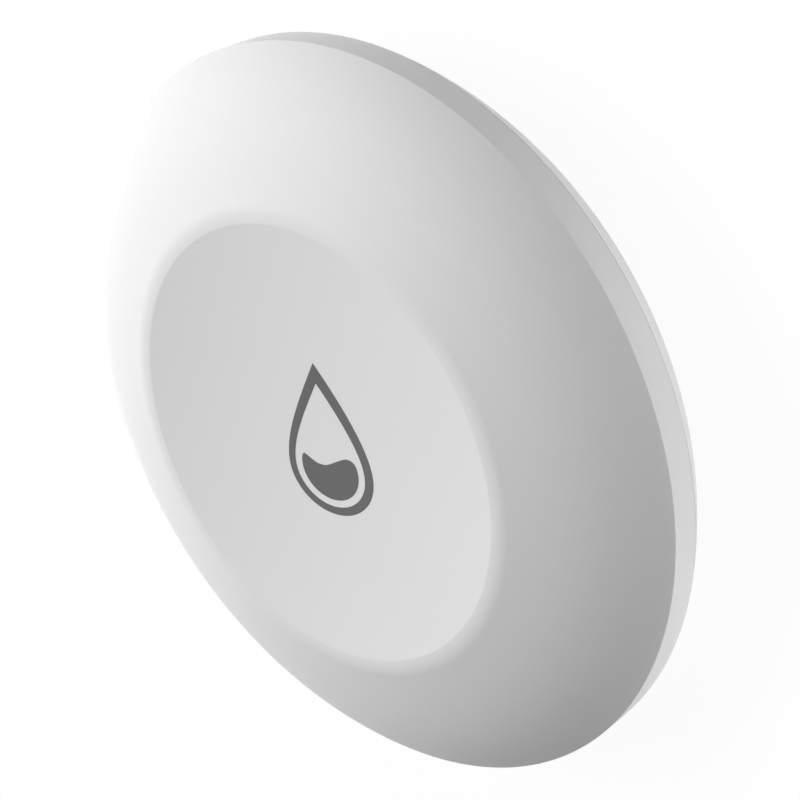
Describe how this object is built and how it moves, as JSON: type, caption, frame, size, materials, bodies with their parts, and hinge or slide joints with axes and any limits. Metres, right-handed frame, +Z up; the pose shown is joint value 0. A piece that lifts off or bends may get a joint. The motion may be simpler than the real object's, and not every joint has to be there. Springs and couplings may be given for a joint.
{
  "type": "water leak sensor",
  "caption": "Round white floor sensor with a shallow dished top, a grey drop symbol, metal water probes, rubber feet and a turn-off battery cover below.",
  "frame": {"origin": "on the round body's axis, on the plane that the feet rest on", "axes": "+Z up out of the dished face, +Y towards the drop symbol's tip, X across the drop"},
  "size_m": [0.056, 0.056, 0.0139],
  "materials": {
    "shell_white": "fine satin moulded plastic",
    "symbol_grey": "matt inlay",
    "clear_guide": "frosted diffuser",
    "foot_rubber": "soft matt",
    "seal_rubber": "smooth",
    "screw_steel": "zinc plated",
    "probe_metal": "polished nickel",
    "insert_brass": "turned",
    "cell_steel": "satin nickel-plated steel",
    "cell_plastic": "smooth",
    "cell_filling": "pressed pellet",
    "contact_nickel": "nickel-plated spring strip",
    "board_green": "solder mask",
    "shield_tin": "tinned",
    "chip_black": "moulded epoxy",
    "chip_ceramic": "fired ceramic",
    "lamp_clear": "clear resin",
    "plunger_plastic": "smooth"
  },
  "bodies": {
    "housing": {"top_cover": "shell_white", "base_shell": "shell_white", "drop_symbol": "symbol_grey", "light_guide": "clear_guide", "rubber_feet": "foot_rubber", "case_seal": "seal_rubber", "probe_seals": "seal_rubber", "power_button_seal": "seal_rubber", "case_screws": "screw_steel", "probe_screws": "probe_metal", "probe_inserts": "insert_brass", "battery_contact_positive": "contact_nickel", "battery_contact_negative": "contact_nickel", "circuit_board": "board_green", "radio_shield": "shield_tin", "crystal": "shield_tin", "microcontroller": "chip_black", "tact_switch_body": "chip_black", "resistors": "chip_black", "chip_antenna": "chip_ceramic", "capacitors": "chip_ceramic", "status_led": "lamp_clear"},
    "cover_ring": {"battery_cover_seal": "seal_rubber"},
    "battery_cover": {"battery_cover": "shell_white"},
    "coin_cell": {"cell_can": "cell_steel", "cell_gasket": "cell_plastic", "cell_cap": "cell_steel", "cell_core": "cell_filling"},
    "power_button": {"power_button": "shell_white"},
    "switch_plunger": {"tact_switch_plunger": "plunger_plastic"}
  },
  "joints": [
    {"name": "cover_pull", "type": "slide", "parent": "housing", "child": "cover_ring", "axis": [0, 0, -1], "range_m": [0, 0.014]},
    {"name": "cover_turn", "type": "hinge", "parent": "cover_ring", "child": "battery_cover", "pos_m": [0, 0, 0], "axis": [0, 0, 1], "range_deg": [0, 45]},
    {"name": "cell_drop", "type": "slide", "parent": "housing", "child": "coin_cell", "axis": [0, 0, -1], "range_m": [0, 0.007]},
    {"name": "button_press", "type": "slide", "parent": "housing", "child": "power_button", "axis": [0, 0, 1], "range_m": [0, 0.0003], "stiffness_N_per_m": 300},
    {"name": "plunger_press", "type": "slide", "parent": "housing", "child": "switch_plunger", "axis": [0, 0, 1], "range_m": [0, 0.0003]}
  ],
  "couplings": [
    {"joint": "cell_drop", "follows": "cover_pull", "ratio": 0.5},
    {"joint": "plunger_press", "follows": "button_press", "ratio": 1}
  ]
}
